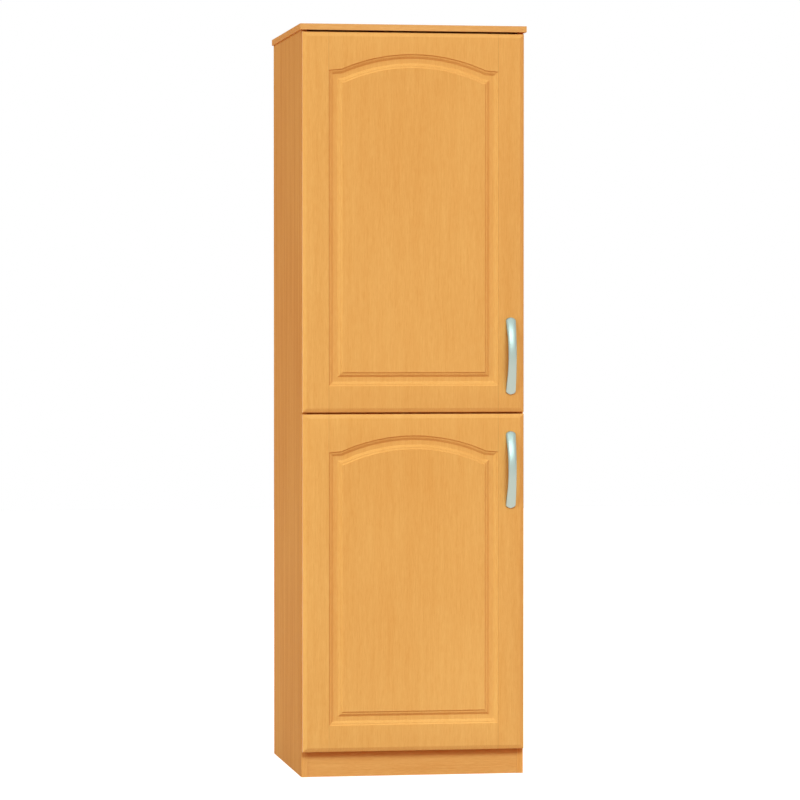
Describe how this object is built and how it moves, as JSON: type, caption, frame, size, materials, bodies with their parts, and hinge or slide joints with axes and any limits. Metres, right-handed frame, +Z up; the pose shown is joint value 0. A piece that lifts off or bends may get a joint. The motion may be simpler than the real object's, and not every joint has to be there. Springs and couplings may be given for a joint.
{
  "type": "refrigerator cabinet",
  "caption": "Tall beech-effect kitchen cabinet that houses a built-in refrigerator under a larder, with arched raised-panel doors on concealed hinges and satin bow handles.",
  "frame": {"origin": "on the floor, in the middle of the overall width and of the overall depth with the handles", "axes": "+X to the right as seen from the front, +Y to the back, +Z up"},
  "size_m": [0.61, 0.61, 2],
  "materials": {
    "side_board": "satin beech-effect melamine",
    "board": "satin beech-effect melamine",
    "door_foil": "satin beech-effect foil",
    "hardboard": "matt lacquer",
    "dowel_wood": "bare",
    "satin_nickel": "satin nickel plate",
    "zinc_steel": "bright zinc plate",
    "bumper": "matt"
  },
  "bodies": {
    "carcass": {"left_side_panel": "side_board", "right_side_panel": "side_board", "top_board": "board", "bottom_board": "board", "mid_shelf": "board", "plinth_board": "board", "rear_plinth_rail": "board", "back_panel": "hardboard", "lower_shelf": "board", "upper_shelf": "board", "shelf_pins": "zinc_steel", "cam_locks": "zinc_steel", "cam_bolts": "zinc_steel", "dowels": "dowel_wood", "niche_braces": "zinc_steel", "brace_screws": "zinc_steel", "wall_brackets": "zinc_steel", "bracket_screws": "zinc_steel", "door_bumpers": "bumper", "hinge_plates": "zinc_steel", "plate_screws": "zinc_steel", "hinge_arms": "zinc_steel", "arm_screws": "zinc_steel", "arm_pins": "zinc_steel"},
    "upper_inner_links": {"upper_inner_links": "zinc_steel"},
    "upper_outer_links": {"upper_outer_links": "zinc_steel"},
    "upper_door": {"upper_door": "door_foil", "upper_handle": "satin_nickel", "upper_handle_screws": "zinc_steel", "upper_hinge_cups": "zinc_steel", "upper_cup_screws": "zinc_steel", "upper_cup_pins": "zinc_steel"},
    "lower_inner_links": {"lower_inner_links": "zinc_steel"},
    "lower_outer_links": {"lower_outer_links": "zinc_steel"},
    "lower_door": {"lower_door": "door_foil", "lower_handle": "satin_nickel", "lower_handle_screws": "zinc_steel", "lower_hinge_cups": "zinc_steel", "lower_cup_screws": "zinc_steel", "lower_cup_pins": "zinc_steel"}
  },
  "joints": [
    {"name": "upper_inner_link_pivot", "type": "hinge", "parent": "carcass", "child": "upper_inner_links", "pos_m": [-0.2695, -0.244, 1.47475], "axis": [0, 0, 1], "range_deg": [0, 50]},
    {"name": "upper_door_hinge", "type": "hinge", "parent": "upper_inner_links", "child": "upper_door", "pos_m": [-0.2875, -0.2595, 1.47475], "axis": [0, 0, -1], "range_deg": [0, 150]},
    {"name": "upper_outer_link_pivot", "type": "hinge", "parent": "carcass", "child": "upper_outer_links", "pos_m": [-0.2594, -0.2522, 1.47475], "axis": [0, 0, 1], "range_deg": [0, 50]},
    {"name": "lower_inner_link_pivot", "type": "hinge", "parent": "carcass", "child": "lower_inner_links", "pos_m": [-0.2695, -0.244, 0.51675], "axis": [0, 0, 1], "range_deg": [0, 50]},
    {"name": "lower_door_hinge", "type": "hinge", "parent": "lower_inner_links", "child": "lower_door", "pos_m": [-0.2875, -0.2595, 0.51675], "axis": [0, 0, -1], "range_deg": [0, 150]},
    {"name": "lower_outer_link_pivot", "type": "hinge", "parent": "carcass", "child": "lower_outer_links", "pos_m": [-0.2594, -0.2522, 0.51675], "axis": [0, 0, 1], "range_deg": [0, 50]}
  ],
  "couplings": [
    {"joint": "upper_inner_link_pivot", "follows": "upper_door_hinge", "ratio": 0.33333},
    {"joint": "upper_outer_link_pivot", "follows": "upper_door_hinge", "ratio": 0.33333},
    {"joint": "lower_inner_link_pivot", "follows": "lower_door_hinge", "ratio": 0.33333},
    {"joint": "lower_outer_link_pivot", "follows": "lower_door_hinge", "ratio": 0.33333}
  ]
}
